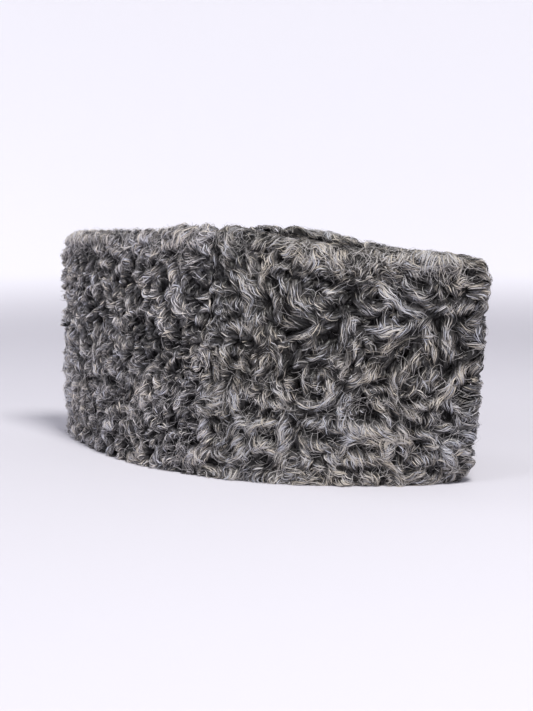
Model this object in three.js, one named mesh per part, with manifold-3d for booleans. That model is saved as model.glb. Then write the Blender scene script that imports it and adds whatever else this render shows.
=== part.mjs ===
// Kashmiri karakul cap: a boat-shaped fur cap that stands open on its rim.
// Millimetres, +Z up. The front fold points to +X and the wearer's right side to -Y.
// The origin is the middle of the cap's box, on the surface that the rim stands on.
import * as THREE from 'three';
import { mergeVertices } from 'three/addons/utils/BufferGeometryUtils.js';
import Module from 'manifold-3d';

const wasm = await Module();
wasm.setup();

// Driving dimensions of the hide
const rimLength = 248; // between the front and back folds, at the rim
const rimSetBack = 3.5; // how far the rim sits back from the top edge
const topFlare = 10; // how much longer the top edge is
const rimDepth = 108; // between the two sides at the rim, inside the hide
const topDepth = 52; // the same, at the top edge
const sideHeight = 120; // of the hide at the side seam
const sideSwell = 3; // how far each side bows out at half height
const hideThickness = 2.5;
const foldRadius = 1; // inside the front and back folds
const sideRoundness = 2.05; // 2 bends a side evenly, and more keeps its middle flatter
const frontFullness = 0.16; // how much fuller the sides are towards the front, as a share of the depth
const topLength = rimLength + topFlare;

// Side seams, which lean: where they lie along the cap, from its middle
const seamAtRim = 16;
const seamAtTop = 0;
const seamGap = 0.3;

// Crown, folded down between the sides
const creaseDepth = 40; // of the crease below the top edge, at the middle
const creaseRound = 7; // half the width of the rounded crease
const crownThickness = 2.5;
const crownGap = 0.4; // between the crown's edge and the hide
const crownInset = 4; // of the crown's edge below the hide's top edge

// Fur
const pileDepth = 7.8; // how far the locks stand out from the hide
const crownPile = 4.5;
const topTurn = 8; // the height over which the fur rolls over the top edge

// Height of the top edge. at: share of the half length, towards the front. height: share of sideHeight
const topEdge = [
  { at: -1, height: 0.962 },
  { at: -0.5, height: 0.968 },
  { at: 0, height: 1 },
  { at: 0.5, height: 0.932 },
  { at: 1, height: 0.904 },
];

// Section through a row of locks. across: share of the row. up: share of the pile
const lockSection = [
  { across: 0, up: 0.12 },
  { across: 0.2, up: 0.76 },
  { across: 0.5, up: 1 },
  { across: 0.8, up: 0.8 },
];

// Each skin's fur lies in rows of locks. lockLength and rowWidth: of one lock. dip: how deep the pile sinks
// between two locks of a row, as a share of the pile. wander: how far the rows sway, as a share of a row.
// waveLength: of the sway. drift: how far the sway turns from row to row, in radians
const frontFur = {
  pile: pileDepth,
  lockLength: 30,
  rowWidth: 16,
  dip: 0.85,
  wander: 0.36,
  waveLength: 82,
  drift: 1.15,
  seed: 3,
};
const backFur = {
  pile: pileDepth,
  lockLength: 18,
  rowWidth: 13.2,
  dip: 0.85,
  wander: 0.3,
  waveLength: 47,
  drift: 1.7,
  seed: 8,
};
const crownFur = { pile: crownPile, lockLength: 38, rowWidth: 13, dip: 0.7, seed: 5 };

// Plain shares and counts
const sidePoints = 22; // along each side, to measure the way round
const foldPoints = 4; // round half of each fold
const furStep = 4.9; // between the sections of a pelt
const insideLevels = 3; // down the inside of the wall
const crownStations = 34;
const crownReach = 0.985; // the share of the top length that the crown takes
const crownUnder = [1, 0.6, 0.25, 0, -0.25, -0.6, -1]; // where its underside has points, from side to side
const rimPile = 0.8; // the pile at the rim, as a share
const crownEdgePile = 0.25; // the same, at the crown's edge
const crownEdgeShare = 0.25; // the share of the crown's half over which its pile thins towards the edge
const rowScatter = 0.22; // how far rows are set off from each other at random, in locks
const lockScatter = 0.14; // how much locks differ in height, as a share
const beyond = 12; // how far cutting solids run past what they cut

const upward = new THREE.Vector3(0, 0, 1);

// A repeatable number between -1 and 1 for two whole numbers
function scatter(row, column) {
  const wave = Math.sin(row * 12.9898 + column * 78.233) * 43758.5453;
  return 2 * (wave - Math.floor(wave)) - 1;
}

const topCurve = new THREE.SplineCurve(topEdge.map((row) => new THREE.Vector2(row.at, row.height)));

// Height of the hide's top edge at a share of the half length
function edgeHeight(at) {
  return sideHeight * topCurve.getPoint(THREE.MathUtils.clamp((at + 1) / 2, 0, 1)).y;
}

// Half the depth between the sides, and its slope along the cap, at shares of its half length and height
function halfDepth(at, share) {
  const depth = THREE.MathUtils.lerp(rimDepth, topDepth, share) / 2;
  const round = Math.abs(at) ** sideRoundness;
  const slope = -sideRoundness * Math.sign(at) * Math.abs(at) ** (sideRoundness - 1);
  const full = 1 + frontFullness * at;
  const length = THREE.MathUtils.lerp(rimLength, topLength, share) / 2;
  const bend = slope * full + (1 - round) * frontFullness;
  return { depth: depth * (1 - round) * full, slope: (depth * bend) / length };
}

// Round the cap once. at: the place along it. turn: -1 on the right side, 1 on the left, between in a fold
function roundTheCap() {
  const stops = [];
  for (let k = 0; k < foldPoints; k++) stops.push({ at: -1, turn: -k / foldPoints });
  for (let k = 0; k <= sidePoints; k++) stops.push({ at: -1 + (2 * k) / sidePoints, turn: -1 });
  for (let k = 1; k < 2 * foldPoints; k++) stops.push({ at: 1, turn: -1 + k / foldPoints });
  for (let k = 0; k <= sidePoints; k++) stops.push({ at: 1 - (2 * k) / sidePoints, turn: 1 });
  for (let k = 1; k < foldPoints; k++) stops.push({ at: -1, turn: 1 - k / foldPoints });
  return stops;
}

// The plan direction that faces out of the cap at a stop
function outwardAt({ at, turn }, share) {
  const { slope } = halfDepth(at, share);
  if (Math.abs(at) < 1) return new THREE.Vector3(-slope, Math.sign(turn), 0).normalize();
  const spread = Math.atan2(1, Math.abs(slope));
  const angle = at > 0 ? turn * spread : Math.PI - turn * spread;
  return new THREE.Vector3(Math.cos(angle), Math.sin(angle), 0);
}

// A point of the wall at a stop, at a height, so far out from the fold line
function wallPoint(stop, height, out) {
  const share = height / edgeHeight(stop.at);
  const length = THREE.MathUtils.lerp(rimLength, topLength, share) / 2;
  const bow = sideSwell * Math.sin(Math.PI * THREE.MathUtils.clamp(share, 0, 1)) * (1 - stop.at ** 2);
  const side = Math.sign(stop.turn) * (halfDepth(stop.at, share).depth + bow);
  const place = new THREE.Vector3(stop.at * length - rimSetBack * (1 - share), side, height);
  return place.addScaledVector(outwardAt(stop, share), out);
}

// Lengths round the hide, to place locks by the millimetre
function measuredRound() {
  const stops = roundTheCap();
  stops.push(stops[0]);
  const places = stops.map((stop) => wallPoint(stop, sideHeight / 2, foldRadius + hideThickness));
  let length = 0;
  return stops.map((stop, k) => {
    if (k > 0) length += places[k].distanceTo(places[k - 1]);
    return { ...stop, length };
  });
}

const measured = measuredRound();
const girth = measured[measured.length - 1].length;

// The stop at a length round the hide, from the middle of the back fold
function stopAt(length) {
  const wanted = ((length % girth) + girth) % girth;
  const next = Math.max(1, measured.findIndex((stop) => stop.length >= wanted));
  const [before, after] = [measured[next - 1], measured[next]];
  const share = (wanted - before.length) / (after.length - before.length);
  return {
    at: THREE.MathUtils.lerp(before.at, after.at, share),
    turn: THREE.MathUtils.lerp(before.turn, after.turn, share),
  };
}

// Fur side of the wall, also where it rolls over the top edge
function furSide(along, height) {
  const stop = stopAt(along);
  const edge = edgeHeight(stop.at) - hideThickness / 2;
  const roll = (Math.PI / 2) * THREE.MathUtils.clamp((height - edge) / topTurn, 0, 1);
  const level = Math.min(height, edge);
  const middle = wallPoint(stop, level, foldRadius + hideThickness / 2);
  const out = wallPoint(stop, level, foldRadius + hideThickness).sub(middle).normalize();
  out.multiplyScalar(Math.cos(roll)).addScaledVector(upward, Math.sin(roll));
  return { place: middle.addScaledVector(out, hideThickness / 2), out };
}

// A point of the crown's sheet: at is the share of the half length, and side is -1 to 1 across it
function crownPoint(at, side) {
  const edge = halfDepth(at, 1).depth + foldRadius - crownGap;
  const reach = Math.sqrt(Math.max(0, 1 - at * at));
  const top = edgeHeight(at) - crownInset;
  const round = creaseRound / Math.max(edge, creaseRound);
  const rise = (Math.hypot(side, round) - round) / (Math.hypot(1, round) - round);
  return new THREE.Vector3((at * topLength) / 2, side * edge, top - creaseDepth * reach * (1 - rise));
}

// The triangles that fill a section, wound as its outline is
function filled(ring, flatten) {
  const outline = ring.map(flatten);
  const triangles = THREE.ShapeUtils.triangulateShape(outline, []);
  const first = triangles[0].map((k) => outline[k]);
  const alike = THREE.ShapeUtils.area(outline) * THREE.ShapeUtils.area(first) > 0;
  return alike ? triangles : triangles.map(([a, b, c]) => [c, b, a]);
}

// A closed mesh through sections with like counts of points. flatten(point) gives a section's own two axes
function skin(rings, flatten) {
  const size = rings[0].length;
  const last = (rings.length - 1) * size;
  const index = [];
  for (let r = 0; r + 1 < rings.length; r++) {
    for (let k = 0; k < size; k++) {
      const here = r * size + k;
      const beside = r * size + ((k + 1) % size);
      index.push(here, beside + size, beside, here, here + size, beside + size);
    }
  }
  for (const [a, b, c] of filled(rings[0], flatten)) index.push(a, b, c);
  for (const [a, b, c] of filled(rings[rings.length - 1], flatten)) index.push(c + last, b + last, a + last);
  const geometry = new THREE.BufferGeometry();
  const corners = rings.flat().flatMap((point) => point.toArray());
  geometry.setAttribute('position', new THREE.Float32BufferAttribute(corners, 3));
  geometry.setIndex(index);
  return geometry;
}

function solid(geometry) {
  const bare = geometry.clone();
  bare.deleteAttribute('normal');
  bare.deleteAttribute('uv');
  const merged = mergeVertices(bare, 1e-5);
  return new wasm.Manifold(
    new wasm.Mesh({
      numProp: 3,
      vertProperties: new Float32Array(merged.attributes.position.array),
      triVerts: new Uint32Array(merged.index.array),
    }),
  );
}

// How high the pile stands at a length along a row, as a share of the pile. Rows are set off from each other
function relief(fur, along, row, profile) {
  const place = along / fur.lockLength + 0.5 * (row % 2) + rowScatter * scatter(row, fur.seed);
  const lock = Math.floor(place);
  const swell = Math.sin(Math.PI * (place - lock));
  const size = 1 + lockScatter * scatter(lock + fur.seed, row);
  return profile * size * (1 - fur.dip * (1 - swell));
}

// Points up the fur side at one length round, from the rim over the top edge
function furPoints(fur, along) {
  const stop = stopAt(along);
  const reach = edgeHeight(stop.at) + topTurn;
  const rows = Math.round((sideHeight + topTurn) / fur.rowWidth);
  const points = [];
  for (let row = 0; row < rows; row++) {
    for (const { across, up } of lockSection) {
      const share = (row + across) / rows;
      const phase = (2 * Math.PI * along) / fur.waveLength + fur.drift * (row + across);
      const sway = fur.wander * fur.rowWidth * Math.sin(phase);
      const height = reach * share + sway * Math.sin(Math.PI * share);
      const { place, out } = furSide(along, height);
      const low = row === 0 && across === 0;
      const pile = fur.pile * relief(fur, along, row, low ? rimPile : up);
      points.push(place.addScaledVector(out, pile));
      if (low) points[0].z = 0;
    }
  }
  return points;
}

// One section of a pelt, up its fur side and down its hide side
function peltSection(fur, along) {
  const stop = stopAt(along);
  const inside = [];
  for (let k = insideLevels; k >= 0; k--) {
    inside.push(wallPoint(stop, (edgeHeight(stop.at) * k) / insideLevels, foldRadius));
  }
  return [...furPoints(fur, along), ...inside];
}

// Everything in front of the leaning seam (side 1) or behind it (side -1), half a gap away
function beyondSeam(side) {
  const height = sideHeight + pileDepth + beyond;
  const slope = (seamAtTop - seamAtRim) / sideHeight;
  const seamAt = (z) => seamAtRim + slope * z + (side * seamGap) / 2;
  const far = side * (topLength / 2 + pileDepth + beyond);
  const depth = rimDepth + 2 * (pileDepth + beyond);
  const outline = new THREE.Shape();
  outline.moveTo(seamAt(0), 0);
  outline.lineTo(far, 0);
  outline.lineTo(far, height);
  outline.lineTo(seamAt(height), height);
  outline.closePath();
  const block = new THREE.ExtrudeGeometry(outline, { depth, bevelEnabled: false });
  block.translate(0, 0, -depth / 2);
  block.rotateX(Math.PI / 2);
  return solid(block);
}

// A pelt is folded round the front (side 1) or the back (side -1), and cut at the two side seams
function pelt(fur, side) {
  const fold = side > 0 ? girth / 2 : 0;
  const reach = girth / 4 + seamAtRim + furStep;
  const steps = Math.ceil((2 * reach) / furStep);
  const rings = [];
  for (let k = 0; k <= steps; k++) rings.push(peltSection(fur, fold - reach + (2 * reach * k) / steps));
  const flatten = (point) => new THREE.Vector2(point.y, point.z);
  return solid(skin(rings, flatten)).intersect(beyondSeam(side));
}

// One section across the crown, over its fur side and back under it
function crownSection(at) {
  const edge = halfDepth(at, 1).depth;
  const rows = Math.max(1, Math.round(topDepth / crownFur.rowWidth));
  const fur = [];
  for (let row = 0; row < rows; row++) {
    for (const { across, up } of lockSection) {
      const side = -1 + (2 * (row + across)) / rows;
      const rise = crownFur.pile * relief(crownFur, (at * topLength) / 2 + topLength, row, up);
      const inFold = Math.min(1, edge / crownFur.rowWidth);
      const atEdge = Math.min(1, crownEdgePile + (1 - Math.abs(side)) / crownEdgeShare);
      fur.push(crownPoint(at, side).addScaledVector(upward, rise * inFold * atEdge));
    }
  }
  fur.push(crownPoint(at, 1));
  const under = crownUnder.map((side) => crownPoint(at, side).addScaledVector(upward, -crownThickness));
  return [...fur, ...under];
}

function crown() {
  const rings = [];
  for (let k = 0; k <= crownStations; k++) {
    rings.push(crownSection(Math.sin(Math.PI * (k / crownStations - 0.5)) * crownReach));
  }
  return solid(skin(rings, (point) => new THREE.Vector2(point.y, point.z)));
}

function mesh(name, shape, colour) {
  const { vertProperties, triVerts } = shape.getMesh();
  const geometry = new THREE.BufferGeometry();
  geometry.setAttribute('position', new THREE.BufferAttribute(vertProperties, 3));
  geometry.setIndex(new THREE.BufferAttribute(triVerts, 1));
  geometry.computeVertexNormals();
  const material = new THREE.MeshStandardMaterial({ color: colour, roughness: 0.8, metalness: 0 });
  const piece = new THREE.Mesh(geometry, material);
  piece.name = name;
  return piece;
}

const cap = new THREE.Group();
cap.add(mesh('front_pelt', pelt(frontFur, 1), 0x6a6666));
cap.add(mesh('back_pelt', pelt(backFur, -1), 0x5e5a5d));
cap.add(mesh('crown', crown(), 0x565354));

// The middle of the cap's box goes over the origin
const middle = new THREE.Box3().setFromObject(cap).getCenter(new THREE.Vector3());
cap.position.set(-middle.x, -middle.y, 0);

export default cap;
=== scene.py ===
"""Looks of a Kashmiri karakul cap: grey curled lambskin, lock by lock, round its hide.

Metres, +Z up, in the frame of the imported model. +X is the front fold, -Y the wearer's right side.
The fur is made in three steps. Waves give its relief, tufts make up the waves, and hairs lie over the tufts.
A place on the hide is a length round the cap and a height. A side is -1 on the right, 1 on the left.
"""

import math
from types import SimpleNamespace

import bpy
import numpy as np
from mathutils import Matrix, Vector


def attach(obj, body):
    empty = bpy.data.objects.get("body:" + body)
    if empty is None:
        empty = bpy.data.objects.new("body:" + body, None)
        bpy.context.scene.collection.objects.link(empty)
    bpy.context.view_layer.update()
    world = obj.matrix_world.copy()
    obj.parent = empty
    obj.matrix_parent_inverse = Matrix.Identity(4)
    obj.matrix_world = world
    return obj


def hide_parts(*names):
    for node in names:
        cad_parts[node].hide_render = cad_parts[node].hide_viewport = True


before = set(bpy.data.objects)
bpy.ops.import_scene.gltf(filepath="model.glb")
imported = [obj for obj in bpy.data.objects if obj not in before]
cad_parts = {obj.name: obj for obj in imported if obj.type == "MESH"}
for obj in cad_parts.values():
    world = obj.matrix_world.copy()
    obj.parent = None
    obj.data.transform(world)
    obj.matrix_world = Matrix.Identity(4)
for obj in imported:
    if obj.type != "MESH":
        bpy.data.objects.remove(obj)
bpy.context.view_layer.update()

MM = 0.001

# The hide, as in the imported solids
RIM_LENGTH = 248 * MM
TOP_LENGTH = 258 * MM
RIM_SET_BACK = 3.5 * MM
RIM_DEPTH = 108 * MM
TOP_DEPTH = 52 * MM
SIDE_HEIGHT = 120 * MM
SIDE_SWELL = 3 * MM
HIDE = 2.5 * MM
FOLD_RADIUS = 1 * MM
SIDE_ROUNDNESS = 2.05
FRONT_FULLNESS = 0.16
SEAM_AT_RIM = 16 * MM
SEAM_AT_TOP = 0.0
SEAM_HALF = 0.35 * MM
CREASE_DEPTH = 40 * MM
CREASE_ROUND = 7 * MM
CROWN_INSET = 4 * MM
CROWN_THICKNESS = 2.5 * MM
CROWN_GAP = 0.4 * MM
MIDDLE = (0.78 * MM, 0.12 * MM)  # of the hide, beside the middle of the cap's box
TOP_EDGE_HEIGHT = (0.962, 0.968, 1.0, 0.932, 0.904)  # shares of SIDE_HEIGHT, from the back fold to the front
SIDE_STOPS = 60  # where lengths round the hide are measured
FOLD_STOPS = 10

# How the fur follows the hide
FULL_PILE = 9 * MM
CROWN_PILE = 7 * MM
ROLL_RADIUS = 5.2 * MM  # of its way over the top edge
ROLL_MOST = 3.0  # radians
TOP_FLATTER = 0.14  # share that the pile loses on the top edge, at the middle of the cap
TOP_FLATTER_FRONT = 0.3  # and how much more at the front fold
TOP_FLATTER_LEFT = 0.2  # and on the left side
CORNER = 12 * MM  # height over which the folds' fur rounds in to their corners
LOW_CORNER_FLATTER = 0.85
TOP_CORNER_FLATTER = 0.42
FOLD_REACH = 6 * MM  # beside a fold, where the fur spreads as it turns
SEAM_ROOM = 2.2 * MM  # beside a seam, where hairs are pressed back
SEAM_BLEND = 5 * MM  # how far the fur of each pelt runs over the other low on the side
SEAM_BLENDS_BELOW = 78 * MM
RIM_ROOM = 3.5 * MM  # over the rim, where hairs are pressed up
LEAST_LIFT = 0.1 * MM
HAIR_OFF_FLOOR = 0.15 * MM

# What differs between the pelts' fur, in mm and radians. A range is the least and the most.
# size_2, size_3: of the smaller waves, laid where the others leave the hide lower than bare_2 and bare_3.
# tuft_area: of hide to a tuft. hairs: how many to a piece, their steps and width, and how many loose ones
FRONT_FUR = SimpleNamespace(
    is_front=True, seeds=(11, 23), edge_pitch=15, swirl=70,
    wave_length=25, wave_width=10.8, wave_pitch=11.5, wave_row_pitch=8,
    wave_curl=(0.6, 2.6), wave_bow=(0.8, 2.0), wave_heading=0, wave_tone=0.55,
    size_2=0.62, bare_2=0.42, size_3=0.5, bare_3=0.36,
    tuft_area=36, tuft_most=21, tuft_width=7.4, tuft_hook=0.35, tuft_flame=(0.1, 0.6),
    right_hairs=(12600, 5, 0.42, 1200), left_hairs=(9500, 5, 0.68, 1800),
)
BACK_FUR = SimpleNamespace(
    is_front=False, seeds=(51, 63), edge_pitch=11, swirl=40,
    wave_length=17, wave_width=9.6, wave_pitch=10, wave_row_pitch=7.6,
    wave_curl=(0.6, 3.2), wave_bow=(1.2, 3.0), wave_heading=0.6, wave_tone=0.54,
    size_2=0.7, bare_2=0.3, size_3=0.5, bare_3=0.15,
    tuft_area=21, tuft_most=15, tuft_width=5.2, tuft_hook=0.5, tuft_flame=(0.2, 0.8),
    right_hairs=(11300, 4, 0.42, 1100), left_hairs=(9500, 4, 0.66, 1400),
)
BARE_CHARTED = 0.4  # where the front pelt's first scattered waves are laid among the charted ones
CROWN_HAIRS = (4800, 5, 0.75)
CROWN_SEED = 31
LOOSE_WIDTH = 0.22
HALF_WAY = 56 * MM  # the height where the right side's fur is parted into two pieces

# Colours of the fur: between the waves, where the near black is painted shade, half way up, over them, and of
# the whitest hairs
FUR_COLOURS = {
    "front_fur": ((0.010, 0.009, 0.009), (0.158, 0.149, 0.143), (0.41, 0.396, 0.382), (0.45, 0.436, 0.42)),
    "back_fur": ((0.009, 0.008, 0.009), (0.2, 0.19, 0.189), (0.5, 0.481, 0.477), (0.56, 0.54, 0.535)),
    "crown_fur": ((0.009, 0.008, 0.008), (0.13, 0.122, 0.12), (0.36, 0.34, 0.335), (0.62, 0.6, 0.58)),
}
TONE_STOPS = (0.0, 0.42, 0.75, 1.0)  # the tones that have these colours
COOLEST = (0.89, 0.94, 1.08)
WARMEST = (1.09, 1.02, 0.9)

# Hides: their names, colours, and the scale and depth of their unevenness
# The fur side of the hides is near black: painted shade seen deep between the locks.
FUR_SIDE_SHADE = ("painted_fur_shade", (0.022, 0.020, 0.021), 700, 0.6)
SUEDE = ("suede", (0.32, 0.29, 0.26), 260, 0.35)

# Lamps: their names, and their places as degrees from the camera's side, degrees up and metres away,
# then size, power and colour
LAMPS = (
    ("key", 28, 62, 1.5, 0.5, 23.5, (1.0, 0.985, 0.955)),
    ("fill", -50, 34, 1.6, 0.7, 5.5, (0.97, 0.98, 1.0)),
    ("rim", -118, 34, 1.5, 0.6, 3.5, (0.97, 0.98, 1.0)),
)

# The camera, from the photograph's outline
CAMERA_AZIMUTH = 35.3
CAMERA_PITCH = 6.44
CAMERA_DISTANCE = 0.7074
CAMERA_AIM = 0.0545  # the height that it looks at
CAP_ASIDE = -0.0076  # of the cap's middle from the camera's axis
CAMERA_LENS = 65.8

WALL_GLOW = 0.42  # of the backdrop, as if lit by lamps of its own

# Waves of the front pelt's right side, as they lie in the photograph.
# along, height: of the wave's middle, in mm. heading: of its axis, in degrees up from the way to the front.
# length, width: in mm. curl: how far it bends, in degrees. cross: of its hairs to its axis, in degrees.
# tone: 0 charcoal, 1 silver
FRONT_WAVES = (
    (151, 115, -90, 26, 12, 10, 45, 0.60), (165, 109, -62, 24, 10, 0, 10, 0.66),
    (149, 94, -10, 17, 10, -20, 10, 0.62), (165, 97, -35, 25, 15, 0, 0, 0.64),
    (176, 105, -100, 28, 9, 50, 20, 0.58), (184, 115, -15, 30, 13, -60, 8, 0.62),
    (184, 104, -20, 22, 8, -70, 15, 0.56), (202, 105, -30, 18, 9, -40, 70, 0.40),
    (201, 116, -10, 28, 13, -30, 20, 0.60), (196, 92, -50, 25, 14, 10, 0, 0.58),
    (186, 91, -95, 21, 9, 10, 15, 0.52), (161, 87, -5, 32, 12, -10, -70, 0.52),
    (170, 73, -12, 38, 13, -60, -55, 0.56), (186, 69, -70, 20, 9, 10, 10, 0.63),
    (200, 74, 25, 30, 10, 15, 0, 0.68), (210, 86, -40, 22, 8, 120, 25, 0.52),
    (221, 74, -85, 26, 11, 20, 10, 0.63), (213, 105, -45, 22, 10, 30, 45, 0.52),
    (227, 101, -60, 19, 10, 100, 60, 0.40), (239, 108, -50, 22, 10, 20, 30, 0.52),
    (246, 91, -40, 36, 8, 5, 5, 0.76), (251, 99, -50, 30, 11, 20, 10, 0.60),
    (258, 109, -30, 22, 11, -40, 40, 0.56), (270, 112, -60, 20, 12, 20, 30, 0.46),
    (268, 98, -110, 17, 10, -40, 20, 0.61), (277, 96, -140, 15, 9, 20, 10, 0.44),
    (275, 87, 5, 31, 12, 10, 60, 0.64), (231, 88, -25, 24, 10, 40, 10, 0.57),
    (245, 77, 15, 34, 9, 15, 5, 0.50), (243, 69, 20, 34, 9, 10, 0, 0.50),
    (262, 71, -75, 22, 12, 10, 5, 0.63), (271, 71, -85, 25, 12, -5, 8, 0.60),
    (280, 72, -62, 23, 11, 10, 5, 0.56), (284, 101, -90, 28, 11, 20, 40, 0.60),
    (239, 62, 50, 24, 12, 20, 5, 0.50), (254, 59, 65, 22, 10, -20, 15, 0.48),
    (162, 62, 10, 27, 11, -80, -70, 0.56), (157, 54, -75, 24, 8, 15, 5, 0.63),
    (169, 49, -100, 34, 12, -40, 40, 0.56), (183, 57, -125, 21, 12, 10, 20, 0.50),
    (178, 35, -60, 40, 9, 200, 50, 0.54), (177, 16, -62, 36, 13, 5, -68, 0.56),
    (198, 22, -88, 35, 11, 0, -35, 0.68), (187, 28, 10, 23, 8, -140, 40, 0.62),
    (188, 16, -10, 25, 9, -150, 50, 0.60), (187, 8, 20, 15, 8, 20, 0, 0.56),
    (214, 22, -10, 27, 12, 20, -40, 0.64), (213, 32, -5, 27, 11, 90, 60, 0.58),
    (212, 42, 10, 28, 8, 120, 15, 0.68), (206, 53, -85, 24, 8, 15, 20, 0.60),
    (216, 50, -70, 19, 9, -40, 15, 0.70), (210, 62, 5, 19, 9, 0, 5, 0.60),
    (198, 50, -80, 17, 9, 60, 60, 0.55), (193, 47, -50, 19, 8, 70, 10, 0.64),
    (186, 42, -95, 23, 7, 0, 10, 0.60), (194, 38, 170, 21, 9, 30, 10, 0.62),
    (222, 8, -85, 27, 10, -20, -20, 0.68), (209, 5, -10, 29, 9, 10, 10, 0.50),
    (213, 13, -40, 19, 10, 10, -30, 0.63), (228, 13, -10, 23, 11, -20, -60, 0.60),
    (163, 31, -30, 19, 9, -100, 50, 0.60), (163, 20, 0, 20, 8, 160, 40, 0.50),
    (167, 12, -25, 21, 9, -20, 5, 0.60), (170, 4, 0, 23, 10, -60, -70, 0.60),
    (191, 3, 180, 21, 10, 10, 70, 0.60), (226, 31, 20, 25, 11, 10, -55, 0.60),
    (227, 47, 42, 27, 8, 5, 0, 0.76), (236, 45, -50, 15, 7, -10, 0, 0.76),
    (236, 55, 40, 22, 9, 10, 5, 0.62), (248, 46, -80, 27, 9, 10, 15, 0.62),
    (262, 53, -130, 21, 12, 30, 5, 0.50), (275, 51, -125, 30, 11, 5, 10, 0.57),
    (257, 36, -35, 20, 10, 5, 0, 0.57), (266, 35, -120, 19, 12, -20, 40, 0.46),
    (276, 36, -60, 21, 10, -60, 15, 0.50), (284, 36, -100, 25, 10, 0, -40, 0.52),
    (235, 30, -15, 27, 13, 20, -40, 0.64), (244, 35, -55, 19, 9, 5, 10, 0.67),
    (247, 22, -85, 30, 9, 5, -25, 0.67), (254, 22, -80, 28, 9, -10, 15, 0.58),
    (234, 15, -15, 29, 14, 10, -35, 0.67), (243, 12, -10, 25, 10, -120, -50, 0.50),
    (262, 26, -15, 23, 9, -40, -30, 0.62), (268, 23, -85, 17, 8, 5, 10, 0.63),
    (276, 27, -20, 23, 9, -20, 10, 0.50), (281, 22, 5, 25, 8, -40, -20, 0.67),
    (266, 14, 10, 21, 12, -10, -80, 0.60), (275, 13, -70, 23, 14, 10, 45, 0.58),
    (269, 4, 0, 34, 11, 90, 40, 0.60), (282, 9, -80, 27, 11, -30, 30, 0.63),
    (240, 4, -20, 23, 9, 10, -30, 0.56), (229, 4, -30, 19, 9, -60, 10, 0.60),
    (254, 6, -70, 19, 8, 10, 10, 0.58),
)


# Shape of the hide

def edge_height(at):
    """Height of the top edge at a share of the half length, on a smooth curve through its five heights."""
    rows = np.asarray(TOP_EDGE_HEIGHT)
    place = np.clip((np.asarray(at) + 1) / 2, 0, 1) * (len(rows) - 1)
    low = np.minimum(place.astype(int), len(rows) - 2)
    t = place - low
    before, start = rows[np.maximum(low - 1, 0)], rows[low]
    end, after = rows[low + 1], rows[np.minimum(low + 2, len(rows) - 1)]
    leave, arrive = (end - before) / 2, (after - start) / 2
    cubic = (2 * start - 2 * end + leave + arrive) * t**3
    square = (-3 * start + 3 * end - 2 * leave - arrive) * t**2
    return SIDE_HEIGHT * (cubic + square + leave * t + start)


def half_length(share):
    return (RIM_LENGTH + (TOP_LENGTH - RIM_LENGTH) * share) / 2


def half_depth(at, share):
    """Half the depth between the sides, and its slope along the cap."""
    depth = (RIM_DEPTH + (TOP_DEPTH - RIM_DEPTH) * share) / 2
    length = half_length(share)
    rounded = np.abs(at) ** SIDE_ROUNDNESS
    bend = -SIDE_ROUNDNESS * np.sign(at) * np.abs(at) ** (SIDE_ROUNDNESS - 1)
    full = 1 + FRONT_FULLNESS * at
    return depth * (1 - rounded) * full, depth * (bend * full + (1 - rounded) * FRONT_FULLNESS) / length


def wall_point(at, turn, height, out):
    """Points of the wall, and the plan directions that face out of it.

    turn is -1 on the right side and 1 on the left, and goes from one to the other round a fold.
    """
    share = height / edge_height(at)
    length = half_length(share)
    depth, slope = half_depth(at, share)
    bow = SIDE_SWELL * np.sin(np.pi * np.clip(share, 0, 1)) * (1 - at**2)
    spread = np.arctan2(1.0, np.abs(slope))
    angle = np.where(at > 0, turn * spread, np.pi - turn * spread)
    on_side = np.abs(at) < 1
    norm = np.hypot(slope, 1.0)
    out_x = np.where(on_side, -slope / norm, np.cos(angle))
    out_y = np.where(on_side, np.sign(turn) / norm, np.sin(angle))
    x = at * length - RIM_SET_BACK * (1 - share) + out_x * out + MIDDLE[0]
    y = np.sign(turn) * (depth + bow) + out_y * out + MIDDLE[1]
    return np.stack([x, y, height + 0 * x], -1), np.stack([out_x, out_y, 0 * x], -1)


def stops_round():
    """Shares of the half length, turns and lengths so far, at stops round the hide from its back fold."""
    fold = np.arange(FOLD_STOPS) / FOLD_STOPS
    side = np.linspace(-1, 1, SIDE_STOPS)
    full = 1 + 0 * fold
    at = np.concatenate([-full, side, full, full, -side, -full, [-1]])
    turn = np.concatenate([-fold, -1 + 0 * side, fold - 1, fold, 1 + 0 * side, 1 - fold, [0]])
    places, _ = wall_point(at, turn, 0 * at + SIDE_HEIGHT / 2, FOLD_RADIUS + HIDE)
    steps = np.linalg.norm(np.diff(places, axis=0), axis=1)
    return at, turn, np.concatenate([[0], np.cumsum(steps)])


STOP_AT, STOP_TURN, STOP_LENGTH = stops_round()
GIRTH = STOP_LENGTH[-1]


def round_hide(along):
    """Share of the half length and turn, at a length round the hide."""
    wanted = np.mod(along, GIRTH)
    return np.interp(wanted, STOP_LENGTH, STOP_AT), np.interp(wanted, STOP_LENGTH, STOP_TURN)


def seam_along(height, side):
    """Length round the hide at the seam of a side."""
    share = height / SIDE_HEIGHT
    x = SEAM_AT_RIM + (SEAM_AT_TOP - SEAM_AT_RIM) * share
    length = half_length(share)
    at = (x + RIM_SET_BACK * (1 - share)) / length
    on_side = (STOP_TURN == side) & (np.abs(STOP_AT) <= 1)
    order = np.argsort(STOP_AT[on_side])
    return np.interp(at, STOP_AT[on_side][order], STOP_LENGTH[on_side][order])


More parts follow.
